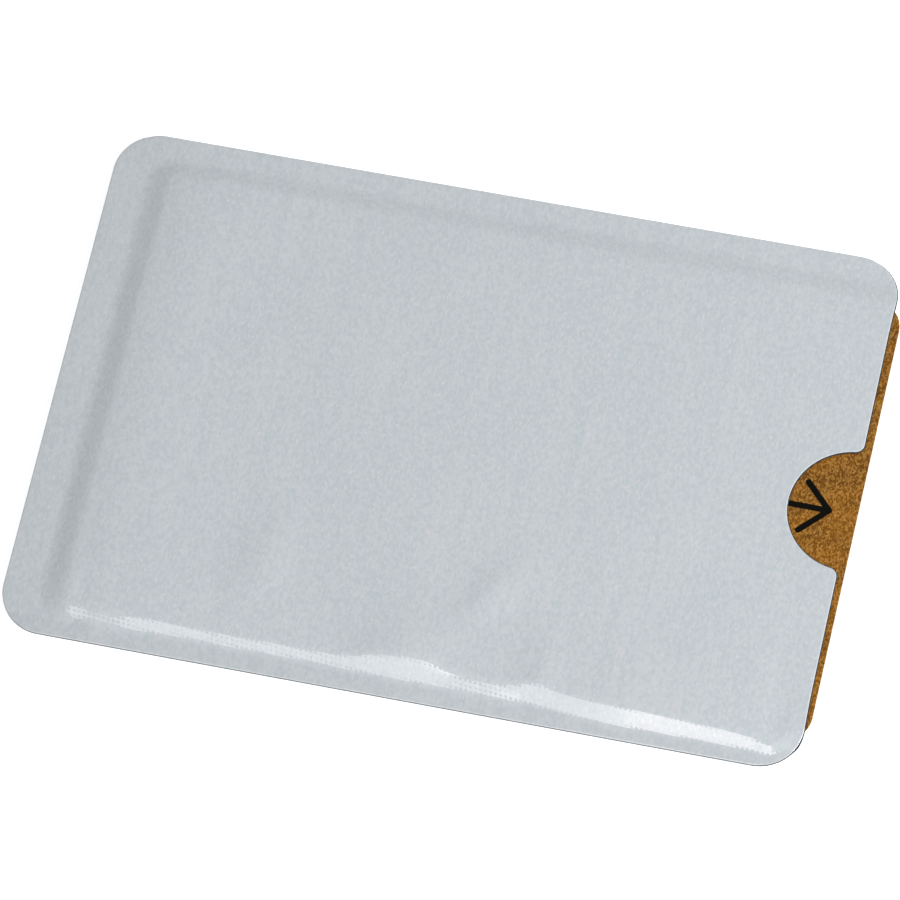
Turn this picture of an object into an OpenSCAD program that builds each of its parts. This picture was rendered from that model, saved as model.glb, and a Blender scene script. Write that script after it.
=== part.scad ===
// Card sleeve that screens radio, with the bank-size card that slides in it.
// The frame: +X points out of the mouth, +Y to the top long side, +Z out of the front.
// The origin is the middle of the sleeve's outline, on the outer face of the back panel.
// The sleeve is drawn round the card: its length and width follow from the card, the play and the seams.

/* [Card body] */
// Length of the card, along its slide
card_l = 85.6; // [80:0.1:92]
// Width of the card
card_w = 53.98; // [48:0.01:60]
// Radius of the card's corners
card_corner_r = 3.18; // [2.5:0.01:5]
// Thickness of each clear overlay of the card
overlay_t = 0.05; // [0.04:0.01:0.1]
// Thickness of each printed sheet of the card
sheet_t = 0.14; // [0.1:0.01:0.25]
// Thickness of the card's core
core_t = 0.38; // [0.36:0.01:0.6]
// How far the middle of the card's end stands out of the mouth
card_overhang = 0.66; // [0:0.01:3]
// Angle by which the card lies askew in the pocket
card_skew = 0.45; // [0:0.05:1.5]

/* [Chip module] */
// Distance from the card's inner end to the middle of the contact field
module_from_end = 15.06; // [14.5:0.01:20]
// Distance from the card's top edge to the middle of the contact field
module_from_top = 23.89; // [20:0.01:27]
// Length of the contact field
module_l = 13; // [11:0.1:14]
// Width of the contact field
module_w = 11.8; // [10.6:0.1:12.5]
// Radius of the contact field's corners
module_corner_r = 1.6; // [0.5:0.1:2.2]
// Gap round the module in its cavity
module_play = 0.05; // [0.02:0.01:0.2]
// Width of the gaps between the contact pads
pad_gap = 0.2; // [0.1:0.05:0.4]
// Distance between the rows of contact pads
pad_pitch = 2.54; // [2.3:0.01:2.8]
// Width of the ground pad in the middle of the contact field
centre_pad_w = 3.2; // [2:0.1:4]
// Length of the resin drop
resin_l = 8; // [6:0.1:9]
// Width of the resin drop
resin_w = 7; // [5:0.1:7.6]
// Height of the resin drop
resin_h = 0.3; // [0.2:0.01:0.32]
// Radius of the resin drop's corners
resin_corner_r = 1.5; // [0.5:0.1:2.4]
// Length of the chip
die_l = 2.4; // [1.5:0.1:4]
// Width of the chip
die_w = 2.2; // [1.5:0.1:4]
// Thickness of the chip
die_t = 0.15; // [0.1:0.01:0.18]

/* [Antenna] */
// Number of turns of the antenna
antenna_turns = 4; // [2:1:4]
// Distance from the card's edge to the middle of the outermost track
antenna_inset = 3.5; // [3:0.1:4]
// Distance from one turn to the next
antenna_pitch = 1.2; // [1:0.05:1.25]
// Width of the antenna's track
track_w = 0.6; // [0.3:0.05:0.8]
// Thickness of the antenna's track and bridge
track_t = 0.04; // [0.02:0.01:0.08]
// Width of the bridge strip
bridge_w = 0.8; // [0.7:0.05:1.2]
// Radius of the two posts that lead the bridge through the core
post_r = 0.25; // [0.1:0.01:0.3]

/* [Card face] */
// Thickness of the stripe, the writing panel and the printed arrow, let into the overlays
print_t = 0.02; // [0.01:0.005:0.03]
// Distance from the card's top edge to the magnetic stripe
stripe_from_top = 4; // [3:0.1:5.5]
// Width of the magnetic stripe
stripe_w = 12.7; // [10:0.1:13]
// Distance from the card's top edge to the writing panel
panel_from_top = 20; // [19:0.5:26]
// Length of the writing panel
panel_l = 62; // [40:1:72]
// Width of the writing panel
panel_w = 9; // [6:0.5:12]
// Distance from the card's outer end to the arrow's tip
arrow_from_end = 2.9; // [1.5:0.1:5]
// Length of the printed arrow
arrow_l = 7.4; // [6:0.1:12]
// Width over the arrow's head
arrow_w = 6.6; // [4:0.1:10]
// Length of the arrow's head along the arrow
arrow_head_l = 2.9; // [2:0.1:4]
// Width of the arrow's stroke
arrow_stroke = 0.7; // [0.3:0.05:1]
// Distance from the card's centre line to the arrow's middle, towards the top side
arrow_up = 0.8; // [-2:0.1:3]

/* [Sleeve sheets] */
// Thickness of the outer film
film_t = 0.05; // [0.04:0.01:0.15]
// Thickness of the screening foil
foil_t = 0.03; // [0.02:0.01:0.1]
// Thickness of the paper liner
liner_t = 0.12; // [0.08:0.01:0.3]
// Radius of the sleeve's four outer corners
corner_r = 5.1; // [3:0.1:6]

/* [Sleeve seams] */
// Width of the seam across the closed end
end_seam_w = 4.45; // [3:0.05:8]
// Width of the seam along the top side
top_seam_w = 2.95; // [1.5:0.05:8]
// Width of the seam along the bottom side
bottom_seam_w = 1.85; // [1.5:0.05:8]
// Thickness of the glue line in a seam
glue_t = 0.04; // [0.02:0.01:0.1]
// Width of the slope from a seam up to the pocket's flat
slope_w = 1.4; // [1:0.05:3]
// Radius of the pocket's flat at its two inner corners
pocket_corner_r = 1.6; // [1:0.1:2.4]

/* [Play round the card] */
// Gap above and below the card
face_play = 0.06; // [0.03:0.01:0.3]
// Gap between the card and the slopes along each long side
side_play = 0.15; // [0.05:0.01:1]
// Gap between the card and the slope at the closed end
end_play = 0.1; // [0.05:0.01:1]

/* [Thumb notch] */
// Radius of the thumb notch
notch_r = 7.2; // [5:0.05:10]
// Distance that the notch's centre lies inside the mouth
notch_set = 0.05; // [0.05:0.05:2]
// Distance from the sleeve's middle to the notch's centre, towards the top side
notch_up = 0.2; // [-3:0.05:3]
// Radius that rounds the notch into the mouth
lip_r = 1; // [0.3:0.05:2]

/* [Hidden] */
$fn = 64;
// Overrun of every cut past the face that it opens
over = liner_t;

// Levels in the card, from its back face
card_t = 2 * overlay_t + 2 * sheet_t + core_t;
core_z = overlay_t + sheet_t;
core_top = core_z + core_t;
face_z = core_top + sheet_t;

// Half of the room that the askew card takes, along the sleeve and across it
half_reach_x = (card_l / 2 - card_corner_r) * cos(card_skew)
    + (card_w / 2 - card_corner_r) * sin(card_skew) + card_corner_r;
half_reach_y = (card_w / 2 - card_corner_r) * cos(card_skew)
    + (card_l / 2 - card_corner_r) * sin(card_skew) + card_corner_r;

// Sleeve's outline and pocket
rim_end = end_seam_w + slope_w;
rim_top = top_seam_w + slope_w;
rim_bottom = bottom_seam_w + slope_w;
card_to_mouth = card_l / 2 * cos(card_skew) - card_overhang;
sleeve_l = rim_end + end_play + half_reach_x + card_to_mouth;
sleeve_w = rim_bottom + rim_top + 2 * side_play + 2 * half_reach_y;
mouth_x = sleeve_l / 2;
corner_x = rim_end - mouth_x + pocket_corner_r;
corner_top = sleeve_w / 2 - rim_top - pocket_corner_r;
corner_bottom = rim_bottom - sleeve_w / 2 + pocket_corner_r;
slope_r = pocket_corner_r + slope_w;

// Levels in the sleeve, from its back face
sheets_t = film_t + foil_t + liner_t;
pocket_h = card_t + 2 * face_play;
sleeve_h = 2 * sheets_t + pocket_h;
slope_h = (pocket_h - glue_t) / 2;
glue_z = sheets_t + slope_h;

// Where the card lies in the sleeve
card_x = mouth_x - card_to_mouth;
card_y = rim_bottom + side_play + half_reach_y - sleeve_w / 2;
card_z = sheets_t + face_play;

// Where the module and the antenna lie in the card
module_x = module_from_end - card_l / 2;
module_y = card_w / 2 - module_from_top;
coil_x = card_l / 2 - antenna_inset;
coil_y = card_w / 2 - antenna_inset;
// The leads end under the module's rim, half way between its edge and the resin
lead_x = module_x - (module_l + resin_l) / 4;
lead_y = module_y;
bridge_end_y = module_y - (module_w + resin_w) / 4;

// Rectangle with rounded corners about the origin
module rounded(l, w, r) {
    square([l - 2 * r, w], center = true);
    square([l, w - 2 * r], center = true);
    for (sx = [-1, 1], sy = [-1, 1])
        translate([sx * (l / 2 - r), sy * (w / 2 - r)])
            circle(r);
}

// Outline that the thumb notch takes out of a panel, with its lips left round
module notch_outline() {
    lip_x = mouth_x - lip_r;
    reach = sqrt(pow(notch_r + lip_r, 2) - pow(lip_r - notch_set, 2));
    difference() {
        union() {
            translate([mouth_x - notch_set, notch_up])
                circle(notch_r);
            polygon([
                [mouth_x - notch_set, notch_up], [lip_x, notch_up + reach], [mouth_x + over, notch_up + reach],
                [mouth_x + over, notch_up - reach], [lip_x, notch_up - reach]
            ]);
        }
        for (side = [-1, 1])
            translate([lip_x, notch_up + side * reach])
                circle(lip_r);
    }
}

// Die-cut block that both panels and the seams are trimmed to
module die_cut() {
    translate([0, 0, -over])
        linear_extrude(sleeve_h + 2 * over)
            difference() {
                rounded(sleeve_l, sleeve_w, corner_r);
                notch_outline();
            }
}

// Section of one sheet, from the pocket's corner centre out over the slope and the seam
module sheet_section(t, rise, reach) {
    polygon([
        [0, 0], [pocket_corner_r, 0], [slope_r, rise], [reach, rise],
        [reach, rise + t], [slope_r, rise + t], [pocket_corner_r, t], [0, t]
    ]);
}

// One sheet of a panel: flat over the pocket, sloping by rise to the seams on three sides
module sheet(z, t, rise) {
    reach_end = slope_r + end_seam_w + over;
    reach_top = slope_r + top_seam_w + over;
    reach_bottom = slope_r + bottom_seam_w + over;
    reach_corner = max(reach_end, reach_top, reach_bottom);
    run = mouth_x + over - corner_x;
    intersection() {
        die_cut();
        translate([0, 0, z])
            union() {
                translate([corner_x, corner_bottom, 0])
                    cube([run, corner_top - corner_bottom, t]);
                translate([corner_x, corner_top, 0])
                    rotate([90, 0, 90])
                        linear_extrude(run)
                            sheet_section(t, rise, reach_top);
                translate([mouth_x + over, corner_bottom, 0])
                    rotate([90, 0, -90])
                        linear_extrude(run)
                            sheet_section(t, rise, reach_bottom);
                translate([corner_x, corner_bottom, 0])
                    rotate([90, 0, 180])
                        linear_extrude(corner_top - corner_bottom)
                            sheet_section(t, rise, reach_end);
                translate([corner_x, corner_top, 0])
                    rotate([0, 0, 90])
                        rotate_extrude(angle = 90)
                            sheet_section(t, rise, reach_corner);
                translate([corner_x, corner_bottom, 0])
                    rotate([0, 0, 180])
                        rotate_extrude(angle = 90)
                            sheet_section(t, rise, reach_corner);
            }
    }
}

module front_film() {
    color([0.76, 0.79, 0.81])
        sheet(sleeve_h - film_t, film_t, -slope_h);
}

module front_foil() {
    color([0.85, 0.86, 0.88])
        sheet(sleeve_h - film_t - foil_t, foil_t, -slope_h);
}

module front_liner() {
    color([0.93, 0.93, 0.91])
        sheet(sleeve_h - sheets_t, liner_t, -slope_h);
}

module back_liner() {
    color([0.93, 0.93, 0.91])
        sheet(film_t + foil_t, liner_t, slope_h);
}

module back_foil() {
    color([0.85, 0.86, 0.88])
        sheet(film_t, foil_t, slope_h);
}

module back_film() {
    color([0.76, 0.79, 0.81])
        sheet(0, film_t, slope_h);
}

// Glue line of the three seams, open over the pocket and its slopes
module glue_line() {
    intersection() {
        die_cut();
        translate([0, 0, glue_z])
            linear_extrude(glue_t)
                difference() {
                    square([sleeve_l, sleeve_w], center = true);
                    translate([corner_x, corner_bottom - slope_r])
                        square([sleeve_l, corner_top - corner_bottom + 2 * slope_r]);
                    translate([corner_x - slope_r, corner_bottom])
                        square([sleeve_l, corner_top - corner_bottom]);
                    for (y = [corner_bottom, corner_top])
                        translate([corner_x, y])
                            circle(slope_r);
                }
    }
}

// Block over one part of the sleeve's plan, from one corner to the other
module plan_block(low, high) {
    translate([low[0], low[1], -over])
        cube([high[0] - low[0], high[1] - low[1], sleeve_h + 2 * over]);
}

module end_seam() {
    color([0.88, 0.87, 0.8])
        intersection() {
            glue_line();
            plan_block([-mouth_x - over, -sleeve_w / 2 - over], [corner_x, sleeve_w / 2 + over]);
        }
}

module top_seam() {
    color([0.88, 0.87, 0.8])
        intersection() {
            glue_line();
            plan_block([corner_x, 0], [mouth_x + over, sleeve_w / 2 + over]);
        }
}

module bottom_seam() {
    color([0.88, 0.87, 0.8])
        intersection() {
            glue_line();
            plan_block([corner_x, -sleeve_w / 2 - over], [mouth_x + over, 0]);
        }
}

// Puts its children where the card lies: their origin is the middle of the card's back face
module in_card() {
    translate([card_x, card_y, card_z])
        rotate([0, 0, -card_skew])
            children();
}

// One full layer of the card
module card_layer(z, t) {
    translate([0, 0, z])
        linear_extrude(t)
            rounded(card_l, card_w, card_corner_r);
}

// Cavity through a layer for the module, with play all round
module module_cavity(z, t) {
    translate([module_x, module_y, z])
        linear_extrude(t)
            rounded(module_l + 2 * module_play, module_w + 2 * module_play, module_corner_r + module_play);
}

module module_field(z, t) {
    translate([module_x, module_y, z])
        linear_extrude(t)
            rounded(module_l, module_w, module_corner_r);
}

module card_front_overlay() {
    color([0.62, 0.44, 0.2])
        in_card()
            difference() {
                card_layer(face_z, overlay_t);
                module_cavity(face_z - over, overlay_t + 2 * over);
                arrow_solid(over);
            }
}

module card_front_sheet() {
    color([0.6, 0.42, 0.18])
        in_card()
            difference() {
                card_layer(core_top, sheet_t);
                module_cavity(core_top - over, sheet_t + 2 * over);
            }
}

module card_core() {
    color([0.95, 0.95, 0.93])
        in_card()
            difference() {
                card_layer(core_z, core_t);
                coil_solid(over);
                bridge_solid(over);
                resin_block(module_play, over);
            }
}

module card_back_sheet() {
    color([0.6, 0.42, 0.18])
        in_card()
            card_layer(overlay_t, sheet_t);
}

module card_back_overlay() {
    color([0.62, 0.44, 0.2])
        in_card()
            difference() {
                card_layer(0, overlay_t);
                stripe_solid(over);
                panel_solid(over);
            }
}

// Corner points of the antenna's spiral, shifted outwards by g from the middle of its track
function spiral(g) = [
    [module_x - bridge_w / 2, -(coil_y + g)],
    for (k = [0 : antenna_turns - 1])
        each [
            if (k > 0) [-(coil_x + g - k * antenna_pitch), -(coil_y + g - k * antenna_pitch)],
            [coil_x + g - k * antenna_pitch, -(coil_y + g - k * antenna_pitch)],
            [coil_x + g - k * antenna_pitch, coil_y + g - k * antenna_pitch],
            [-(coil_x + g - (k + 1) * antenna_pitch), coil_y + g - k * antenna_pitch]
        ],
    [-(coil_x + g - antenna_turns * antenna_pitch), lead_y - g],
    [lead_x, lead_y - g]
];
function backwards(points) = [for (i = [len(points) - 1 : -1 : 0]) points[i]];

// Coil let into the core's upper face, raised by extra where it cuts the core
module coil_solid(extra) {
    translate([0, 0, core_top - track_t])
        linear_extrude(track_t + extra)
            polygon(concat(spiral(track_w / 2), backwards(spiral(-track_w / 2))));
}

module antenna_coil() {
    color([0.8, 0.8, 0.82])
        in_card()
            coil_solid(0);
}

// Bridge strip let into the core's lower face, with posts up to the coil's start and to the module
module bridge_solid(extra) {
    translate([module_x - bridge_w / 2, -coil_y - track_w / 2, core_z - extra])
        cube([bridge_w, bridge_end_y + coil_y + track_w, track_t + extra]);
    translate([module_x, -coil_y, core_z])
        cylinder(r = post_r, h = core_t - track_t);
    translate([module_x, bridge_end_y, core_z])
        cylinder(r = post_r, h = core_t + extra);
}

module antenna_bridge() {
    color([0.8, 0.8, 0.82])
        in_card()
            bridge_solid(0);
}

module module_tape() {
    color([0.25, 0.3, 0.18])
        in_card()
            module_field(core_top, sheet_t);
}

// Contact field parted into two columns of four pads and the ground pad between them
module contact_pads() {
    column_l = (module_l - centre_pad_w) / 2;
    color([0.85, 0.7, 0.35])
        in_card()
            difference() {
                module_field(face_z, overlay_t);
                for (side = [-1, 1])
                    translate([module_x + side * (centre_pad_w + pad_gap) / 2, module_y, face_z - over])
                        linear_extrude(overlay_t + 2 * over)
                            square([pad_gap, module_w + 2 * over], center = true);
                for (side = [-1, 1], row = [-1, 0, 1])
                    translate([
                        module_x + side * (module_l - column_l + over) / 2,
                        module_y + row * pad_pitch,
                        face_z - over
                    ])
                        linear_extrude(overlay_t + 2 * over)
                            square([column_l + over, pad_gap], center = true);
            }
}

// Block of the resin drop, widened by play and raised by extra where it cuts the core
module resin_block(play, extra) {
    translate([module_x, module_y, core_top - resin_h - play / 2])
        linear_extrude(resin_h + play / 2 + extra)
            rounded(resin_l + 2 * play, resin_w + 2 * play, resin_corner_r + play);
}

module die_block(extra) {
    translate([module_x - die_l / 2, module_y - die_w / 2, core_top - die_t])
        cube([die_l, die_w, die_t + extra]);
}

module chip_die() {
    color([0.3, 0.3, 0.33])
        in_card()
            die_block(0);
}

module chip_encapsulant() {
    color([0.1, 0.1, 0.1])
        in_card()
            difference() {
                resin_block(0, 0);
                die_block(over);
            }
}

// Magnetic stripe let into the card's back face
module stripe_solid(extra) {
    translate([-card_l / 2 - extra, card_w / 2 - stripe_from_top - stripe_w, -extra])
        cube([card_l + 2 * extra, stripe_w, print_t + extra]);
}

module magnetic_stripe() {
    color([0.08, 0.07, 0.07])
        in_card()
            stripe_solid(0);
}

// Writing panel let into the card's back face
module panel_solid(extra) {
    translate([-panel_l / 2, card_w / 2 - panel_from_top - panel_w, -extra])
        cube([panel_l, panel_w, print_t + extra]);
}

module signature_panel() {
    color([0.92, 0.92, 0.88])
        in_card()
            panel_solid(0);
}

// Outline of the arrow with its tip at the origin, pointing along +X
module arrow_outline() {
    head = arrow_w / 2;
    shaft = arrow_stroke / 2;
    // Stroke of the head's arms, measured along the arrow
    arm = arrow_stroke * norm([arrow_head_l, head]) / head;
    root = arm + arrow_head_l * shaft / head;
    polygon([
        [0, 0], [-arrow_head_l, head], [-arrow_head_l - arm, head], [-root, shaft], [-arrow_l, shaft],
        [-arrow_l, -shaft], [-root, -shaft], [-arrow_head_l - arm, -head], [-arrow_head_l, -head]
    ]);
}

// Plain arrow that points out of the mouth, let into the card's front face
module arrow_solid(extra) {
    translate([card_l / 2 - arrow_from_end, arrow_up, card_t - print_t])
        linear_extrude(print_t + extra)
            arrow_outline();
}

module pull_arrow() {
    color([0.08, 0.08, 0.06])
        in_card()
            arrow_solid(0);
}

front_film();
front_foil();
front_liner();
back_liner();
back_foil();
back_film();
end_seam();
top_seam();
bottom_seam();
card_front_overlay();
card_front_sheet();
card_core();
card_back_sheet();
card_back_overlay();
antenna_coil();
antenna_bridge();
module_tape();
contact_pads();
chip_die();
chip_encapsulant();
magnetic_stripe();
signature_panel();
pull_arrow();
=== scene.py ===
# Screening sleeve for a bank-size card, with the card that slides in it

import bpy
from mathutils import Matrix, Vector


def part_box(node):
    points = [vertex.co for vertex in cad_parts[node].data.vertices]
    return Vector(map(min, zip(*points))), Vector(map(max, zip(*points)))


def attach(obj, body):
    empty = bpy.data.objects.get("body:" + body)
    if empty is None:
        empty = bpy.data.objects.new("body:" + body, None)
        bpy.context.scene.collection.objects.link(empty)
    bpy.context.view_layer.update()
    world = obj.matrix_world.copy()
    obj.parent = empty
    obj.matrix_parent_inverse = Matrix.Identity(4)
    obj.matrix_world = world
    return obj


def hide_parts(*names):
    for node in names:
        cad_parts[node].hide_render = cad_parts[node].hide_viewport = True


bl_info = {
    "name": "Screening card sleeve",
    "version": (1, 0, 0),
    "blender": (4, 5, 0),
    "location": "3D View > Sidebar > Card sleeve",
    "description": "Builds the laminated sleeve and its card, with their finishes and the stage",
    "category": "Add Mesh",
}

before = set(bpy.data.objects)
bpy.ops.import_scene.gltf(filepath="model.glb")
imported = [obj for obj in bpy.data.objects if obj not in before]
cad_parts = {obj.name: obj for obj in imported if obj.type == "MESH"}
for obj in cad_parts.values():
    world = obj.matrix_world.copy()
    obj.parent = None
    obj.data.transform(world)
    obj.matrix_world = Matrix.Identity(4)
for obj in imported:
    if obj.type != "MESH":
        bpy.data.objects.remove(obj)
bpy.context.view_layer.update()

import math

import bmesh
import bpy
import numpy as np
from bpy.props import FloatProperty, FloatVectorProperty, IntProperty, PointerProperty
from mathutils import Matrix, Vector

# Everything is in metres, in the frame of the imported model
MM = 0.001

# Corners of the nodes that the defaults come from
FILM_LOW, FILM_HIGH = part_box("front_film")
FOIL_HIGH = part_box("front_foil")[1]
LINER_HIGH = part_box("front_liner")[1]
BACK_FILM_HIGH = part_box("back_film")[1]
OVERLAY_LOW, OVERLAY_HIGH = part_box("card_front_overlay")
CORE_LOW, CORE_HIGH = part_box("card_core")
TAPE_LOW, TAPE_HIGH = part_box("module_tape")
FILM_THICKNESS = FILM_HIGH.z - FOIL_HIGH.z
FOIL_THICKNESS = FOIL_HIGH.z - LINER_HIGH.z
RISE = BACK_FILM_HIGH.z - FILM_THICKNESS
CARD_MIDDLE = (CORE_LOW + CORE_HIGH) / 2
TAPE_MIDDLE = (TAPE_LOW + TAPE_HIGH) / 2


def linear(code):
    """Linear colour of an sRGB hex code: over 12.92 below the knee, else the 2.4th power above it."""
    channels = np.array([int(code[i : i + 2], 16) for i in (0, 2, 4)]) / 255
    bent = np.where(channels <= 0.04045, channels / 12.92, ((channels + 0.055) / 1.055) ** 2.4)
    return (*bent.tolist(), 1.0)


def length_of(name, description, default):
    """A length that the user may change, in metres."""
    return FloatProperty(name=name, description=description, default=default, precision=5, unit="LENGTH")


def lengths_of(name, description, defaults):
    """A row of lengths that the user may change, given in millimetres and kept in metres."""
    return FloatVectorProperty(
        name=name, description=description, default=[value * MM for value in defaults],
        size=len(defaults), precision=5, unit="LENGTH"
    )


def colour_of(name, description, code):
    """A colour that the user may change, given as an sRGB hex code and kept linear."""
    return FloatVectorProperty(
        name=name, description=description, default=linear(code), size=4, min=0, max=1, subtype="COLOR"
    )


# Stations along the bottom side, in millimetres, each with its place from the middle of the sleeve,
# the foot of the slope from the cut edge, the slope's width and the panel's extra height there
BOTTOM_STATIONS = (
    (-37.7, 0.75, 5.20, -0.04),
    (-36.8, 1.91, 2.36, -0.22),
    (-35.8, 0.97, 3.59, -0.22),
    (-34.0, 0.69, 3.91, -0.22),
    (-31.8, 0.84, 3.72, -0.22),
    (-30.2, 1.53, 2.75, -0.22),
    (-27.0, 1.90, 2.27, -0.22),
    (-20.0, 1.66, 2.53, -0.12),
    (-13.0, 1.79, 2.38, -0.14),
    (-10.3, 1.65, 2.58, -0.13),
    (-8.0, 1.71, 2.50, -0.13),
    (-6.0, 1.66, 2.67, -0.07),
    (-2.2, 1.52, 3.86, 0.26),
    (0.0, 1.51, 4.21, 0.38),
    (2.0, 1.49, 4.25, 0.39),
    (4.0, 1.53, 3.77, 0.24),
    (5.5, 1.46, 3.34, 0.07),
    (7.2, 1.30, 3.10, -0.05),
    (9.3, 1.20, 3.14, -0.07),
    (11.3, 1.17, 3.23, -0.05),
    (12.8, 1.33, 3.28, 0.00),
    (14.2, 1.47, 3.57, 0.14),
    (15.6, 1.38, 4.05, 0.30),
    (17.2, 1.29, 3.59, 0.20),
    (19.5, 1.07, 3.29, 0.16),
    (23.0, 0.97, 3.18, 0.17),
    (31.0, 1.05, 2.81, 0.11),
    (35.0, 1.10, 2.54, 0.05),
    (38.0, 1.04, 2.39, -0.01),
    (40.5, 0.89, 2.30, -0.06),
    (42.3, 0.80, 2.00, -0.12),
    (44.0, 0.30, 5.00, 0.00),
)
BOTTOM_TABLE = tuple(zip(*BOTTOM_STATIONS))

# Low swells of the front panel, in millimetres and degrees, each with its middle x and y, its
# height, its reach across and along, and the turn of its long axis from X
SWELLS = (
    (8.2, -17.2, 0.22, 2.3, 5.0, 52),
    (-17.5, -17.5, 0.19, 2.8, 5.5, 78),
)

# Slow waves of the front panel, each with its turns in one ripple pitch along x and along y, its
# start in radians and its weight
WAVES = (
    (1.0, 0.35, 0.0, 1.0),
    (0.62, -0.21, 1.3, 1.0),
    (1.7, 0.5, 0.4, 0.6),
)


class SleeveSizes(bpy.types.PropertyGroup):
    """Sizes of the laminated sleeve"""

    length: length_of("Length", "Length of the die-cut outline", FILM_HIGH.x - FILM_LOW.x)
    width: length_of("Width", "Width of the die-cut outline", FILM_HIGH.y - FILM_LOW.y)
    height: length_of("Height", "Height over both panels where they are flat", FILM_HIGH.z)
    corner_radius: length_of("Corner radius", "Radius of the four outer corners", 5.1 * MM)
    film: length_of("Film", "Thickness of the outer film", FILM_THICKNESS)
    foil: length_of("Foil", "Thickness of the screening foil", FOIL_THICKNESS)
    liner: length_of("Liner", "Thickness of the paper liner", 0.12 * MM)
    rise: length_of("Rise", "Height from a seam to the flat of a panel", RISE)
    end_seam: length_of("End seam", "Width of the seam across the closed end", 4.45 * MM)
    top_seam: length_of("Top seam", "Width of the seam along the top side", 2.95 * MM)
    bottom_seam: length_of("Bottom seam", "Width of the seam along the bottom side", 1.85 * MM)
    notch_radius: length_of("Notch radius", "Radius of the thumb notch", 7.2 * MM)
    notch_set: length_of("Notch set", "How far the notch's centre lies inside the mouth", 0.05 * MM)
    notch_up: length_of("Notch up", "How far the notch's centre lies above the middle", 0.2 * MM)
    lip_radius: length_of("Lip radius", "Radius that rounds the notch into the mouth", 1 * MM)
    mouth_bow: length_of("Mouth bow", "How far the mouth's edge is drawn in between its corners", 0.2 * MM)
    mouth_ramp: length_of("Mouth ramp", "Distance from the sides over which it is drawn in", 10 * MM)
    # Painted shadow: the dark front liner stands out of the mouth and notch so that its rim draws a dark
    # shadow line along the card
    liner_rim_as_painted_shadow: length_of("Liner shown", "How far the front liner stands out of the mouth", 0.1 * MM)


class PanelShape(bpy.types.PropertyGroup):
    """How the soft panels lie over the card"""

    end_foot: length_of("End foot", "From the closed end to the foot of its slope", 3.85 * MM)
    end_slope: length_of("End slope", "Width of the slope at the closed end", 3.3 * MM)
    back_slope: length_of("Back slope", "Width of the back panel's slopes, inside the seams", 1.4 * MM)
    back_corner: length_of("Back corner", "Corner radius of the back panel's slopes", 1.6 * MM)
    end_lift: length_of("End lift", "Extra height that the panel gains past its end slope", 0.16 * MM)
    end_reach: length_of("End reach", "Distance over which it gains the end lift", 6.8 * MM)
    top_foot: length_of("Top foot", "From the top side to the foot of its slope", 2.4 * MM)
    top_slope_left: length_of("Top slope left", "Width of the top slope at the closed end", 2.7 * MM)
    top_slope_right: length_of("Top slope right", "Width of the top slope at the mouth", 3.1 * MM)
    bottom_places: lengths_of("Bottom places", "Stations along the bottom side", BOTTOM_TABLE[0])
    bottom_feet: lengths_of("Bottom feet", "From the bottom side to the foot of its slope", BOTTOM_TABLE[1])
    bottom_slopes: lengths_of("Bottom slopes", "Width of the bottom slope", BOTTOM_TABLE[2])
    bottom_lifts: lengths_of("Bottom lifts", "Extra height of the panel at the bottom", BOTTOM_TABLE[3])
    lift_depth: length_of("Lift depth", "How far the extra height reaches into the panel", 6.5 * MM)
    corner_radius: length_of("Slope corner", "Radius of the slopes' inner corners", 3.8 * MM)
    crown: length_of("Crown", "How far the front panel stands off the card past its slopes", 0.2 * MM)
    crown_reach: length_of("Crown reach", "Distance over which the panel reaches its crown", 3 * MM)
    sag: length_of("Sag", "How far the front panel's middle sinks below its crown", 0.12 * MM)
    sag_width: length_of("Sag width", "Distance over which the crown falls to the middle", 16 * MM)
    ripple: length_of("Ripple", "Height of the slow waves in the front panel", 0.018 * MM)
    ripple_pitch: length_of("Ripple pitch", "Length of the slow waves", 13 * MM)
    lip_drop: length_of("Lip drop", "How far the die presses the film's cut edge down", 0.04 * MM)
    lip_width: length_of("Lip width", "Width of the pressed edge", 0.15 * MM)


class CardSizes(bpy.types.PropertyGroup):
    """Sizes of the card and of what is printed on it"""

    length: length_of("Length", "Length of the card", 85.6 * MM)
    width: length_of("Width", "Width of the card", 53.98 * MM)
    corner_radius: length_of("Corner radius", "Radius of the card's corners", 3.18 * MM)
    skew: FloatProperty(
        name="Skew", description="How far the card lies askew", default=math.radians(-0.45), subtype="ANGLE"
    )
    overlay: length_of("Overlay", "Thickness of the clear overlay", OVERLAY_HIGH.z - OVERLAY_LOW.z)
    edge_radius: length_of("Edge radius", "Radius of the punched edge of the overlay", 0.03 * MM)
    module_length: length_of("Contact field length", "Length of the contact field", 13 * MM)
    module_width: length_of("Contact field width", "Width of the contact field", 11.8 * MM)
    module_radius: length_of("Contact field corner", "Radius of the contact field's corners", 1.6 * MM)
    module_play: length_of("Module play", "Gap round the module in its cavity", 0.05 * MM)
    pad_radius: length_of("Pad radius", "Radius of the contact pads' edges", 0.012 * MM)
    arrow_from_end: length_of("Arrow from end", "Distance from the card's end to the arrow's tip", 2.9 * MM)
    arrow_up: length_of("Arrow up", "How far the arrow lies above the card's centre line", 0.8 * MM)
    arrow_length: length_of("Arrow length", "Length of the printed arrow", 7.4 * MM)
    arrow_width: length_of("Arrow width", "Width over the arrow's head", 6.6 * MM)
    arrow_head: length_of("Arrow head", "Length of the arrow's head", 2.9 * MM)
    arrow_stroke: length_of("Arrow stroke", "Width of the arrow's strokes", 0.7 * MM)
    ink: length_of("Ink", "Thickness of the printed ink", 0.012 * MM)


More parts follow.
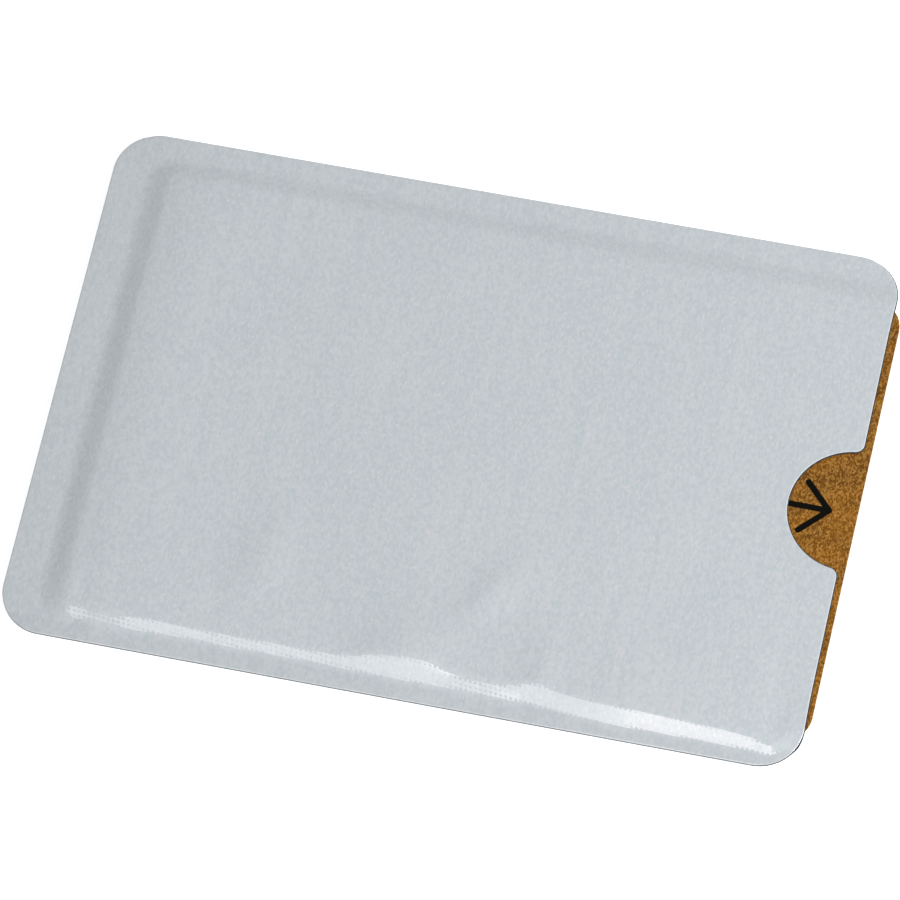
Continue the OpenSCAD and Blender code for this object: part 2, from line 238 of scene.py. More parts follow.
class MeshSteps(bpy.types.PropertyGroup):
    """How finely the surfaces are divided"""

    film_pitch: length_of("Film step", "Step across the flat of the outer films", 0.6 * MM)
    inner_pitch: length_of("Inner step", "Step across the flat of foils and liners", 1.2 * MM)
    slope_pitch: length_of("Slope step", "Step across the slopes", 0.2 * MM)
    notch_steps: IntProperty(name="Notch steps", description="Rows in half of the notch", default=26, min=6)
    lip_steps: IntProperty(name="Lip steps", description="Rows round one lip", default=8, min=3)
    corner_steps: IntProperty(name="Corner steps", description="Steps round a corner", default=16, min=4)


class StageSettings(bpy.types.PropertyGroup):
    """Camera, light and floor of the studio"""

    lens: FloatProperty(
        name="Lens", description="Focal length on a 36 mm wide sensor", default=282.55, unit="CAMERA"
    )
    camera_place: FloatVectorProperty(
        name="Camera", description="Where the camera stands",
        default=(0.11193, -0.30068, 0.72376), unit="LENGTH"
    )
    camera_aim: FloatVectorProperty(
        name="Aim", description="Point in the middle of the picture",
        default=(-0.000117, -0.000758, 0.00064), unit="LENGTH"
    )
    camera_roll: FloatProperty(
        name="Roll", description="Turn of the camera about its line of sight",
        default=math.radians(-8.716), subtype="ANGLE"
    )
    ambient: FloatProperty(name="Ambient", description="Brightness of the room", default=0.51, min=0)
    floor_glow: FloatProperty(
        name="Floor glow", description="Light of the backlit floor", default=0.55, min=0
    )


class FinishColours(bpy.types.PropertyGroup):
    """Colours of the finishes"""

    film: colour_of("Film", "Metallised film of the sleeve", "BDC6CB")
    film_warm: colour_of("Film, warm", "Warmer bands of the metallised film", "C6C8CC")
    film_fleck: colour_of("Film, flecks", "Pale flecks in the metallised film", "D1CED1")
    foil: colour_of("Foil", "Screening foil", "D9DADD")
    # Painted shade: the liner's paper and the seam glue are made dark so that the laminate's cut edges show
    # as a shaded line
    paper_darkened_as_shade: colour_of("Paper", "Dark blue-grey paper liner", "2C343C")
    glue_darkened_as_shade: colour_of("Glue", "Glue line of the seams", "424A52")
    gold: colour_of("Gold", "Gold ink of the card", "8B5A08")
    # Painted glint and painted shade: the gold flakes' light and dark colours stand in for flakes that
    # catch the light and flakes turned from it
    gold_flake_painted_shade: colour_of("Gold, deep", "Flakes of the gold ink that lie in shade", "5A3007")
    gold_flake_painted_glint: colour_of("Gold, glint", "Flakes of the gold ink that catch the light", "C6924A")
    core: colour_of("Core", "Plastic of the card's core", "E9E7DF")
    ink: colour_of("Ink", "Black print", "060604")
    plating: colour_of("Plating", "Gold plating of the contacts", "E2BE78")
    tape: colour_of("Tape", "Glass fibre tape of the chip module", "4A5236")
    aluminium: colour_of("Aluminium", "Etched antenna", "D0D1D4")
    silicon: colour_of("Silicon", "Chip", "56565C")
    resin: colour_of("Resin", "Resin drop over the chip", "161616")
    magnetic: colour_of("Magnetic", "Magnetic stripe", "1D1817")
    writing: colour_of("Writing", "Writing panel", "E6E5DC")
    floor: colour_of("Floor", "Studio floor", "F4F4F4")


# Places and distances

def steps_between(start, stop, pitch):
    """Even steps from start up to, but without, stop, none longer than the pitch."""
    count = max(1, math.ceil(abs(stop - start) / pitch))
    return np.linspace(start, stop, count, endpoint=False)


def rounded_min(a, b, radius):
    """Distance to a rounded corner between two edges: the radius less the hypotenuse of how far
    each distance falls short of it. Away from both edges it stays at the radius."""
    return radius - np.hypot(np.clip(radius - a, 0, None), np.clip(radius - b, 0, None))


def smooth(share):
    """Smooth step from 0 to 1: three times the square less twice the cube of the clipped share."""
    held = np.clip(share, 0, 1)
    return held * held * (3 - 2 * held)


def corner_inset(across, half, radius):
    """How far a round corner draws an end in: the radius less the root of its square less the
    square of the reach past the straight part."""
    past = np.clip(np.abs(across) - (half - radius), 0, radius)
    return radius - np.sqrt(radius**2 - past**2)


def mouth_line(sleeve, y):
    """Place x of the mouth's edge without its notch and corners: half the length less the bow, which
    comes in from both sides by a smooth step."""
    share = smooth((sleeve.width / 2 - np.abs(y)) / sleeve.mouth_ramp)
    return sleeve.length / 2 - sleeve.mouth_bow * share


def notch_frame(sleeve, shown):
    """Reach of the lips' centres and reach of the tangent points of the thumb notch, whose edge
    stands out by so much into it."""
    both = sleeve.notch_radius + sleeve.lip_radius
    inside = sleeve.notch_set - sleeve.mouth_bow
    reach = math.sqrt(both**2 - (sleeve.lip_radius - inside) ** 2)
    tangent = reach * (sleeve.notch_radius - shown) / both
    return reach, tangent


def mouth_edge(sleeve, y, shown):
    """Right-hand edge of the outline at a height y: the mouth with its round corners, drawn in by
    the notch's arc and by the two lips that are tangent to it. All of it stands out by so much."""
    reach, tangent = notch_frame(sleeve, shown)
    away = np.abs(y - sleeve.notch_up)
    radius, lip_radius = sleeve.notch_radius - shown, sleeve.lip_radius + shown
    notch = sleeve.length / 2 - sleeve.notch_set - np.sqrt(np.clip(radius**2 - away**2, 0, None))
    lip_side = np.clip(reach - away, 0, lip_radius)
    lip = mouth_line(sleeve, y) - sleeve.lip_radius + np.sqrt(lip_radius**2 - lip_side**2)
    straight = mouth_line(sleeve, y) + shown - corner_inset(y, sleeve.width / 2, sleeve.corner_radius)
    return np.where(away <= tangent, notch, np.where(away < reach, lip, straight))


def side_steps(foot, slope, shape, steps, reach):
    """Distances in from a cut edge: fine over the pressed lip, whose rows crowd towards the edge,
    wide over the seam, fine over the slope and wide past it."""
    lip_rows, crowding = 4, 1.2
    wide = 3 * steps.slope_pitch
    lip = np.linspace(0, 1, lip_rows, endpoint=False) ** crowding * shape.lip_width
    flange = steps_between(shape.lip_width, foot, wide)
    slope_part = steps_between(foot, foot + slope, steps.slope_pitch)
    tail = steps_between(foot + slope, reach, wide)
    return np.concatenate([lip, flange, slope_part, tail])


def outline_rows(sleeve, shape, steps, pitch, shown):
    """Heights y of the grid's rows, from the bottom edge to the top one: by distance beside the cut
    edges, evenly between them, and by angle round the lips and the notch, whose rows are sines."""
    half = sleeve.width / 2
    reach, tangent = notch_frame(sleeve, shown)
    radius, lip_radius = sleeve.notch_radius - shown, sleeve.lip_radius + shown
    foot, widest, past_slope = min(shape.bottom_feet), max(shape.bottom_slopes), 2 * MM
    side = foot + widest + past_slope
    bottom = side_steps(foot, widest, shape, steps, side) - half
    top = half - side_steps(shape.top_foot, shape.top_slope_right, shape, steps, side)[::-1]
    last = math.asin(tangent / radius)
    notch = radius * np.sin(np.linspace(0, last, steps.notch_steps + 1))
    lip = reach - lip_radius * np.sin(np.linspace(last, 0, steps.lip_steps + 1))
    upper = np.concatenate([notch, lip[1:]])
    middle = sleeve.notch_up + np.concatenate([-upper[:0:-1], upper])
    below = steps_between(side - half, middle[0], pitch)
    above = steps_between(middle[-1], half - side, pitch)[1:]
    return np.concatenate([bottom, below, middle, above, [half - side], top])


def plan_grid(sleeve, shape, steps, pitch, shown):
    """Places x and y over the sleeve's outline. Each row runs from the closed end to the mouth's
    edge, which stands out by so much: set distances from both ends, and even steps between them."""
    y = outline_rows(sleeve, shape, steps, pitch, shown)[:, None]
    left = corner_inset(y, sleeve.width / 2, sleeve.corner_radius) - sleeve.length / 2
    right = mouth_edge(sleeve, y, shown)
    past_slope, mouth_fine, mouth_reach = 5 * MM, 1 * MM, 2 * MM
    reach = shape.end_foot + shape.end_slope + past_slope
    lead = side_steps(shape.end_foot, shape.end_slope, shape, steps, reach)
    trail = side_steps(shape.lip_width, mouth_fine, shape, steps, mouth_reach)[::-1]
    between = sleeve.length - lead[-1] - trail[0]
    share = np.linspace(0, 1, math.ceil(between / pitch) + 1)[1:-1]
    low, high = left + lead[-1], right - trail[0]
    x = np.concatenate([left + lead, low + (high - low) * share, right - trail], axis=1)
    return x, np.broadcast_to(y, x.shape)


def cut_edge_distance(sleeve, x, y):
    """Distance to the nearest cut edge, up to the lip's radius: the rounded least of the distances
    to the four sides, rounded again against the distance to the notch's circle."""
    centre_x = sleeve.length / 2 - sleeve.notch_set
    ends = np.minimum(x + sleeve.length / 2, mouth_line(sleeve, y) - x)
    sides = rounded_min(ends, sleeve.width / 2 - np.abs(y), sleeve.corner_radius)
    notch = np.hypot(x - centre_x, y - sleeve.notch_up) - sleeve.notch_radius
    return rounded_min(sides, notch, sleeve.lip_radius)


def along_stations(places, values, x):
    """Value at x between stations: a cubic that meets the value and the mean slope at both of them,
    as the smooth step between the two values plus what the two slopes add."""
    places, values = np.array(places), np.array(values)
    slopes = np.gradient(values, places)
    before = np.clip(np.searchsorted(places, x) - 1, 0, len(places) - 2)
    gap = places[before + 1] - places[before]
    share = np.clip((x - places[before]) / gap, 0, 1)
    step = values[before] + (values[before + 1] - values[before]) * smooth(share)
    rise = share * (1 - share) ** 2 * slopes[before] - share**2 * (1 - share) * slopes[before + 1]
    return step + gap * rise


def slope_share(sleeve, x, y, end, top, bottom, corner):
    """Share of the way up from the seams to a panel's flat. Each closed side is given as the place of
    its slope's foot in from the cut edge and the slope's width. Each distance past a foot is taken
    over the width, and a smooth step bends the least of the three, which is rounded at the corners."""
    past_end = (x + sleeve.length / 2 - end[0]) / end[1]
    past_top = (sleeve.width / 2 - top[0] - y) / top[1]
    past_bottom = (y + sleeve.width / 2 - bottom[0]) / bottom[1]
    radius = corner / end[1]
    upper = rounded_min(past_end, past_top, radius)
    return smooth(np.minimum(upper, rounded_min(past_end, past_bottom, radius)))


def ripples(shape, x, y):
    """Slow waves, from -1 to 1: the weighted mean of sines along slanting lines, of unlike lengths."""
    turn = 2 * math.pi / shape.ripple_pitch
    total = sum(
        weight * np.sin(turn * (right * x + up * y) + begin) for right, up, begin, weight in WAVES
    )
    return total / sum(wave[-1] for wave in WAVES)


def swells(x, y):
    """Height of the low swells: for each one a bell over its own across and along distances."""
    total = 0.0
    for middle_x, middle_y, height, across, along, turn in SWELLS:
        cosine, sine = math.cos(math.radians(turn)), math.sin(math.radians(turn))
        right, up = x / MM - middle_x, y / MM - middle_y
        length_part = (right * cosine + up * sine) / along
        width_part = (up * cosine - right * sine) / across
        total = total + height * MM * np.exp(-(length_part**2) - width_part**2)
    return total


def front_face(sleeve, shape, x, y):
    """Height of the front film's outer face: the seam's level, then up the slopes by the rise, the
    crown and the two lifts, less the sag towards the middle, with waves and swells. The crown's share
    is the product of one less a falling exponential of each side's distance in, and the sag's that of
    their smooth steps. The bottom lift falls off as a bell, and the end lift comes and goes by smooth
    steps. The top slope widens towards the mouth, and the bottom one follows its stations."""
    end = shape.end_foot, shape.end_slope
    along = smooth(x / sleeve.length + 0.5)
    top_width = shape.top_slope_left + (shape.top_slope_right - shape.top_slope_left) * along
    bottom_foot = along_stations(shape.bottom_places, shape.bottom_feet, x)
    bottom_width = along_stations(shape.bottom_places, shape.bottom_slopes, x)
    top, bottom = (shape.top_foot, top_width), (bottom_foot, bottom_width)
    up = slope_share(sleeve, x, y, end, top, bottom, shape.corner_radius)
    sides = [
        np.clip(x + sleeve.length / 2 - shape.end_foot, 0, None),
        np.clip(sleeve.width / 2 - shape.top_foot - y, 0, None),
        np.clip(y + sleeve.width / 2 - sleeve.bottom_seam, 0, None),
    ]
    grown, sunk = 1.0, 1.0
    for inward in sides:
        grown = grown * (1 - np.exp(-inward / shape.crown_reach))
        sunk = sunk * smooth(inward / shape.sag_width)
    lift = along_stations(shape.bottom_places, shape.bottom_lifts, x)
    lift = lift * np.exp(-((sides[2] / shape.lift_depth) ** 2))
    fallen = smooth((sides[0] - shape.end_reach) / shape.sag_width)
    lift = lift + shape.end_lift * smooth(sides[0] / shape.end_reach) * (1 - fallen)
    waves = shape.ripple * ripples(shape, x, y) + swells(x, y)
    full = sleeve.rise + shape.crown * grown - shape.sag * sunk + lift + waves
    return sleeve.height - sleeve.rise + full * up


def back_face(sleeve, shape, x, y):
    """Height of the back film's outer face: flat on the table, and up a slope of one width to the
    seam of each closed side."""
    seams = sleeve.end_seam, sleeve.top_seam, sleeve.bottom_seam
    end, top, bottom = ((seam, shape.back_slope) for seam in seams)
    return sleeve.rise * (1 - slope_share(sleeve, x, y, end, top, bottom, shape.back_corner))


# Meshes and pieces

def grid_faces(first, rows, columns, upwards=True):
    """Four-cornered faces of a grid of points that is numbered row by row."""
    number = first + np.arange(rows * columns).reshape(rows, columns)
    corners = [number[:-1, :-1], number[:-1, 1:], number[1:, 1:], number[1:, :-1]]
    faces = np.stack(corners, axis=-1).reshape(-1, 4)
    return faces if upwards else faces[:, ::-1]


def shell(x, y, low, high):
    """Closed sheet over a grid: its upper and lower faces and the wall along the grid's border."""
    rows, columns = x.shape
    upper = np.stack([x, y, high], axis=-1).reshape(-1, 3)
    lower = np.stack([x, y, low], axis=-1).reshape(-1, 3)
    number = np.arange(rows * columns).reshape(rows, columns)
    border = np.concatenate([number[0, :-1], number[:-1, -1], number[-1, :0:-1], number[:0:-1, 0]])
    following = np.roll(border, -1)
    down = rows * columns
    wall = np.stack([border, border + down, following + down, following], axis=-1)
    faces = [grid_faces(0, rows, columns), grid_faces(down, rows, columns, False), wall]
    return np.concatenate([upper, lower]), np.concatenate(faces)


def rounded_loop(length, width, radius, steps):
    """Closed outline of a rounded rectangle about the origin: four quarter circles, one after another."""
    turn = (np.linspace(0, 1, steps + 1)[None, :] + np.arange(4)[:, None]) * math.pi / 2
    sign = np.array([[1, 1], [-1, 1], [-1, -1], [1, -1]])[:, None, :]
    centre = sign * np.array([length / 2 - radius, width / 2 - radius])
    return (centre + radius * np.stack([np.cos(turn), np.sin(turn)], axis=-1)).reshape(-1, 2)


def ring_plate(loops, levels):
    """Plate round a hole, as a closed profile carried along an outline: one loop of places and one
    level for each point of the profile, which runs up the hole, outwards over the top and back below."""
    rings, around = len(loops), len(loops[0])
    heights = np.repeat(np.array(levels)[:, None, None], around, axis=1)
    points = np.concatenate([np.array(loops), heights], axis=-1).reshape(-1, 3)
    number = np.arange(rings * around).reshape(rings, around)
    next_ring = np.roll(number, -1, axis=0)
    corners = [number, next_ring, np.roll(next_ring, -1, axis=1), np.roll(number, -1, axis=1)]
    return points, np.stack(corners, axis=-1).reshape(-1, 4)[:, ::-1]


def arc(centre_x, centre_y, radius, start, stop, steps):
    """Points on a circle's arc between two angles."""
    turn = np.linspace(start, stop, steps)
    return np.stack([centre_x + radius * np.cos(turn), centre_y + radius * np.sin(turn)], axis=-1)


def settle(name, mesh, sharp, slot, body, node):
    """Shades a mesh, smooth but for edges past the sharp angle, gives it its finish and makes it a
    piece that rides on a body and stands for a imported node."""
    mesh.shade_smooth()
    mesh.set_sharp_from_angle(angle=sharp)
    mesh.materials.clear()
    mesh.materials.append(finish(slot))
    piece = bpy.data.objects.new(name, mesh)
    bpy.context.scene.collection.objects.link(piece)
    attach(piece, body)
    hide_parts(node)
    return piece


def new_piece(name, points, faces, slot, body, node):
    """Makes a piece from points and faces."""
    sharp = math.radians(40)
    mesh = bpy.data.meshes.new(name)
    mesh.from_pydata(points.tolist(), [], faces if isinstance(faces, list) else faces.tolist())
    mesh.validate()
    settle(name, mesh, sharp, slot, body, node)


def softened_copy(name, node, slot, body, radius):
    """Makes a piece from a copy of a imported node, with its doubles merged, its flat faces made whole
    and its edges rounded by a live bevel."""
    double = 0.0005 * MM
    flat, sharp, bevelled = math.radians(0.5), math.radians(30), math.radians(40)
    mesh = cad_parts[node].data.copy()
    work = bmesh.new()
    work.from_mesh(mesh)
    bmesh.ops.remove_doubles(work, verts=work.verts, dist=double)
    bmesh.ops.dissolve_limit(work, angle_limit=flat, verts=work.verts, edges=work.edges)
    work.to_mesh(mesh)
    work.free()
    piece = settle(name, mesh, sharp, slot, body, node)
    bevel = piece.modifiers.new("edge", "BEVEL")
    bevel.width = radius
    bevel.segments = 2
    bevel.angle_limit = bevelled


def dress(slot, *nodes):
    """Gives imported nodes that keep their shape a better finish."""
    for node in nodes:
        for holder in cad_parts[node].material_slots:
            holder.material = finish(slot)


# Finishes

# Numbers of the sockets of a Mix node that mixes colours: its share, both colours and its result
SHARE, FIRST, SECOND, RESULT = 0, 6, 7, 2


def add(tree, kind, inputs=None, **settings):
    """Adds a shader node, sets its properties and fills its sockets with values or other sockets."""
    made = tree.nodes.new("ShaderNode" + kind)
    for key, value in settings.items():
        setattr(made, key, value)
    for key, value in (inputs or {}).items():
        if isinstance(value, bpy.types.NodeSocket):
            tree.links.new(value, made.inputs[key])
        else:
            made.inputs[key].default_value = value
    return made


def new_finish(maker):
    """Makes a material named after its maker, which is handed its tree, its shader, its object
    coordinates and the colours to choose from."""
    material = bpy.data.materials.new(maker.__name__)
    material.use_nodes = True
    tree = material.node_tree
    place = add(tree, "TexCoord").outputs["Object"]
    maker(tree, tree.nodes["Principled BSDF"], place, bpy.context.scene.finish_colours)
    return material


def surface(tree, shader, colour, relief=None, depth=0.0, **values):
    """Gives a shader its colour, a relief of so much depth where there is one, and its constants,
    whose names are those of its sockets with underscores."""
    tree.links.new(colour, shader.inputs["Base Color"])
    if relief is not None:
        bump = add(tree, "Bump", {"Height": relief, "Distance": depth})
        tree.links.new(bump.outputs[0], shader.inputs["Normal"])
    for key, value in values.items():
        shader.inputs[key.replace("_", " ").title().replace("Ior", "IOR")].default_value = value


def grain(tree, coordinates, across, along, detail=2.0, upright=None):
    """Noise whose features are so wide across X and so long along Y and Z, from about 0.3 to 0.7."""
    stretch = (1 / across, 1 / along, 1 / (upright or along))
    mapped = add(tree, "Mapping", {"Vector": coordinates, "Scale": stretch})
    settings = {"Vector": mapped.outputs[0], "Scale": 1.0, "Detail": detail}
    return add(tree, "TexNoise", settings).outputs["Fac"]


def tint(tree, share, dark, light, low=0.3, high=0.7):
    """Mixes two colours by a share that is stretched from its low and high values."""
    ends = {"Value": share, "From Min": low, "From Max": high}
    stretched = add(tree, "MapRange", ends).outputs[0]
    both = {SHARE: stretched, FIRST: dark, SECOND: light}
    return add(tree, "Mix", both, data_type="RGBA").outputs[RESULT]


def shaded(colour, factor):
    """A colour made darker or lighter by one factor."""
    return (*[min(1, channel * factor) for channel in colour[:3]], 1.0)


def shades(tree, share, colour, first, last, low=0.3, high=0.7):
    """Mixes two shades of one colour, each given as a factor, by a share as in tint."""
    return tint(tree, share, shaded(colour, first), shaded(colour, last), low, high)


def metallised_film(tree, shader, place, colours):
    # Polyester film with vapour-coated aluminium, under a hard gloss lacquer whose face is embossed
    # with a slanted lattice of small tilts across the sleeve: a pale silver grey with soft upright
    # threads and bands, partly cool and partly warm, whose reflections end in small teeth
    emboss_across, emboss_along = 0.58 * MM, 0.5 * MM
    emboss_turn, emboss_slant, emboss_tilt = math.radians(5), 0.35, 0.075
    thread_depth, thread_tilt, even_tilt = 0.0015 * MM, 0.5, -0.55
    thread_share = 0.6
    # Bands where painted shade darkens the film, at the closed end and along the bottom, and how dark it
    # gets
    end_shade_band, bottom_shade_band = (-41 * MM, -32 * MM), (-29.5 * MM, -28.9 * MM)
    white, painted_shade_factor = (1, 1, 1, 1), 0.955
    threads = grain(tree, place, across=0.38 * MM, along=0.6 * MM)
    specks = grain(tree, place, across=0.22 * MM, along=0.5 * MM, detail=0.0)
    bands = grain(tree, place, across=1.3 * MM, along=45 * MM)
    cloud = grain(tree, place, across=9 * MM, along=14 * MM, detail=1.0)
    cool, warm = colours.film, colours.film_warm
    banded = tint(tree, bands, shaded(cool, 0.97), shaded(warm, 1.03), low=0.36, high=0.64)
    clouded = tint(tree, cloud, shaded(cool, 0.97), banded, low=0.35, high=0.65)
    threaded = tint(tree, threads, shaded(cool, 0.9), shaded(warm, 1.07))
    both = {SHARE: thread_share, FIRST: clouded, SECOND: threaded}
    blended = add(tree, "Mix", both, data_type="RGBA").outputs[RESULT]
    film_colour = tint(tree, specks, blended, colours.film_fleck, low=0.62, high=0.84)
    # Painted shade: the film's colour is made a shade darker towards the closed end and along the bottom
    parts = add(tree, "SeparateXYZ", {0: place}).outputs
    for direction, (outer, inner) in (("X", end_shade_band), ("Y", bottom_shade_band)):
        # A factor of painted shade: darkest at the outer edge of each band, none inside it
        pressed = shades(tree, parts[direction], white, painted_shade_factor, 1, low=outer, high=inner)
        both = {SHARE: 1.0, FIRST: film_colour, SECOND: pressed}
        product = add(tree, "Mix", both, data_type="RGBA", blend_type="MULTIPLY")
        film_colour = product.outputs[RESULT]
    # The lattice is the product of two waves that run from 0 to 1, in two directions
    cosine, sine = math.cos(emboss_turn), math.sin(emboss_turn)
    across = (cosine + emboss_slant * sine, emboss_slant * cosine - sine, 0)
    along = (sine, cosine, 0)
    lifted = []
    for direction, pitch in ((across, emboss_across), (along, emboss_along)):
        scaled = [part * 2 * math.pi / pitch for part in direction]
        phase = add(tree, "VectorMath", {0: place, 1: scaled}, operation="DOT_PRODUCT")
        wave = add(tree, "Math", {0: phase.outputs["Value"]}, operation="COSINE")
        half = {0: wave.outputs[0], 1: 0.5, 2: 0.5}
        lifted.append(add(tree, "Math", half, operation="MULTIPLY_ADD").outputs[0])
    dots = add(tree, "Math", {0: lifted[0], 1: lifted[1]}, operation="MULTIPLY").outputs[0]
    # The lacquer leans along the sleeve's width by the dots, the threads and an even part
    uneven = {0: threads, 1: thread_tilt, 2: even_tilt}
    uneven = add(tree, "Math", uneven, operation="MULTIPLY_ADD").outputs[0]
    share = add(tree, "Math", {0: uneven, 1: dots}, operation="ADD").outputs[0]
    lean = {0: (0, emboss_tilt, 0), "Scale": share}
    lean = add(tree, "VectorMath", lean, operation="SCALE").outputs[0]
    upright = add(tree, "NewGeometry").outputs["Normal"]
    leaning = add(tree, "VectorMath", {0: upright, 1: lean}, operation="ADD").outputs[0]
    embossed = add(tree, "VectorMath", {0: leaning}, operation="NORMALIZE").outputs[0]
    tree.links.new(embossed, shader.inputs["Coat Normal"])
    surface(
        tree, shader, film_colour, relief=threads, depth=thread_depth, metallic=0.2, roughness=0.5,
        coat_weight=1.0, coat_roughness=0.05, coat_ior=1.8
    )


def rolled_foil(tree, shader, place, colours):
    # Soft aluminium foil from the roll: bright, with faint lines along the sleeve
    lines = grain(tree, place, across=4 * MM, along=0.12 * MM)
    lined = shades(tree, lines, colours.foil, 0.88, 1)
    surface(tree, shader, lined, relief=lines, depth=0.002 * MM, metallic=1.0, roughness=0.32)


def recycled_paper(tree, shader, place, colours):
    # Dark blue-grey recycled paper, calendered on one side: matt, with a cloud of fibres; its darkness is
    # painted shade that makes the cut edges show as a dark line
    fibres = grain(tree, place, across=0.5 * MM, along=0.18 * MM, detail=4.0)
    cloud = grain(tree, place, across=3 * MM, along=3 * MM)
    fibrous = shades(tree, fibres, colours.paper_darkened_as_shade, 0.86, 1.04)
    clouded = tint(tree, cloud, shaded(colours.paper_darkened_as_shade, 0.93), fibrous)
    surface(tree, shader, clouded, relief=fibres, depth=0.012 * MM, roughness=0.85)


def heat_seal_glue(tree, shader, place, colours):
    # Heat-seal lacquer, melted between the liners: dark grey as painted shade for the cut edges, and
    # slightly uneven
    flow = grain(tree, place, across=1.2 * MM, along=1.2 * MM)
    surface(tree, shader, shades(tree, flow, colours.glue_darkened_as_shade, 0.86, 1), roughness=0.45)


def pearl_gold(tree, shader, place, colours, gloss):
    """Gold pearl ink on plastic, with the given share of clear gloss over it."""
    # Real flakes are a few hundredths of a millimetre, and these are as coarse as they need to show
    flake_width, flake_length = 0.14 * MM, 0.24 * MM
    mottle_slant, mottle_share = math.radians(-35), 0.45
    spread = (1 / flake_width, 1 / flake_length, 1 / flake_length)
    packed = add(tree, "Mapping", {"Vector": place, "Scale": spread})
    cells = add(tree, "TexVoronoi", {"Vector": packed.outputs[0], "Scale": 1.0})
    split = add(tree, "SeparateColor", {0: cells.outputs["Color"]})
    slanted = add(tree, "Mapping", {"Vector": place, "Rotation": (0, 0, mottle_slant)})
    mottle = grain(tree, slanted.outputs[0], across=4 * MM, along=1.5 * MM, detail=1.5)
    # Each flake's colour lies between painted shade and a painted glint
    flaked = tint(tree, split.outputs[0], colours.gold_flake_painted_shade, colours.gold_flake_painted_glint, low=0.25, high=1.0)
    mottled = shades(tree, mottle, colours.gold, 0.62, 1.15, low=0.34, high=0.62)
    both = {SHARE: mottle_share, FIRST: flaked, SECOND: mottled}
    mixed = add(tree, "Mix", both, data_type="RGBA").outputs[RESULT]
    fine = grain(tree, place, across=0.12 * MM, along=0.12 * MM)
    surface(
        tree, shader, mixed, relief=fine, depth=0.006 * MM, metallic=0.4, roughness=0.5,
        specular_ior_level=0.15, coat_weight=gloss, coat_roughness=0.16, coat_ior=1.5
    )


def gold_overlay(tree, shader, place, colours):
    # Clear overlay pressed on gold pearl ink: fine flakes with painted glints and painted shade, and soft
    # clouds under gloss
    pearl_gold(tree, shader, place, colours, 0.1)


def gold_sheet(tree, shader, place, colours):
    # Printed sheet under the overlay, seen at the punched edge only: the same ink, dull
    pearl_gold(tree, shader, place, colours, 0.0)


def white_plastic(tree, shader, place, colours):
    # Matt white PVC of the core, punched: a pale edge with fine drag marks
    drag = grain(tree, place, across=0.2 * MM, along=0.2 * MM, upright=1 * MM)
    surface(tree, shader, shades(tree, drag, colours.core, 0.9, 1), roughness=0.55)


def etched_aluminium(tree, shader, place, colours):
    # Aluminium track etched on film: dull silver with a rough edge
    etch = grain(tree, place, across=0.15 * MM, along=0.15 * MM)
    etched = shades(tree, etch, colours.aluminium, 0.8, 1)
    surface(tree, shader, etched, metallic=1.0, roughness=0.45)


def glass_tape(tree, shader, place, colours):
    # Glass fibre in epoxy: dull olive with the fine threads of its warp
    warp = grain(tree, place, across=0.1 * MM, along=0.6 * MM)
    surface(tree, shader, shades(tree, warp, colours.tape, 0.7, 1.2), roughness=0.5)


def hard_gold(tree, shader, place, colours):
    # Hard gold plated on nickel and rolled copper: satin with fine rolling lines
    lines = grain(tree, place, across=3 * MM, along=0.08 * MM, detail=3.0)
    wear = grain(tree, place, across=2.5 * MM, along=2.5 * MM)
    lined = shades(tree, lines, colours.plating, 0.85, 1)
    worn = tint(tree, wear, shaded(colours.plating, 0.92), lined)
    surface(tree, shader, worn, relief=lines, depth=0.002 * MM, metallic=1.0, roughness=0.3)


def polished_silicon(tree, shader, place, colours):
    # Ground back of a silicon chip: dark blue grey with fine grinding lines
    lines = grain(tree, place, across=0.05 * MM, along=0.8 * MM)
    ground = shades(tree, lines, colours.silicon, 0.8, 1)
    surface(tree, shader, ground, metallic=0.6, roughness=0.25)


def black_epoxy(tree, shader, place, colours):
    # Black epoxy drop: satin with fine filler grains
    filler = grain(tree, place, across=0.08 * MM, along=0.08 * MM)
    surface(tree, shader, shades(tree, filler, colours.resin, 1, 1.8), roughness=0.4)


def magnetic_lacquer(tree, shader, place, colours):
    # Ferrite lacquer tape: brown black, drawn smooth along its length, slightly scuffed by readers
    scuffs = grain(tree, place, across=14 * MM, along=0.09 * MM, detail=3.0)
    scuffed = shades(tree, scuffs, colours.magnetic, 1, 2.2, low=0.45, high=0.75)
    surface(
        tree, shader, scuffed, relief=scuffs, depth=0.003 * MM, roughness=0.34,
        coat_weight=0.3, coat_roughness=0.2
    )


def writing_coat(tree, shader, place, colours):
    # Matt white coat that takes a pen, printed with fine slanting grey lines
    line_pitch, line_slant = 0.9 * MM, math.radians(35)
    slant = add(tree, "Mapping", {"Vector": place, "Rotation": (0, 0, line_slant)})
    split = add(tree, "SeparateXYZ", {0: slant.outputs[0]})
    scaled = {0: split.outputs["X"], 1: 2 * math.pi / line_pitch}
    phase = add(tree, "Math", scaled, operation="MULTIPLY")
    wave = add(tree, "Math", {0: phase.outputs[0]}, operation="COSINE").outputs[0]
    lined = shades(tree, wave, colours.writing, 1, 0.72, low=0.55, high=0.8)
    surface(tree, shader, lined, roughness=0.9)


def screen_ink(tree, shader, place, colours):
    # Screen-printed black ink: dense and satin, with the faint cells of the mesh it came through
    cells = grain(tree, place, across=0.15 * MM, along=0.15 * MM)
    inked = shades(tree, cells, colours.ink, 1, 2)
    surface(
        tree, shader, inked, relief=cells, depth=0.003 * MM, roughness=0.6, specular_ior_level=0.06
    )


def painted_board(tree, shader, place, colours):
    # Matt white paint on a board that is lit from behind: an even glow with hardly any fleck
    flecks = grain(tree, place, across=2 * MM, along=2 * MM)
    flecked = shades(tree, flecks, colours.floor, 0.98, 1)
    glow = bpy.context.scene.stage_settings.floor_glow
    surface(tree, shader, flecked, roughness=0.9, emission_color=colours.floor, emission_strength=glow)


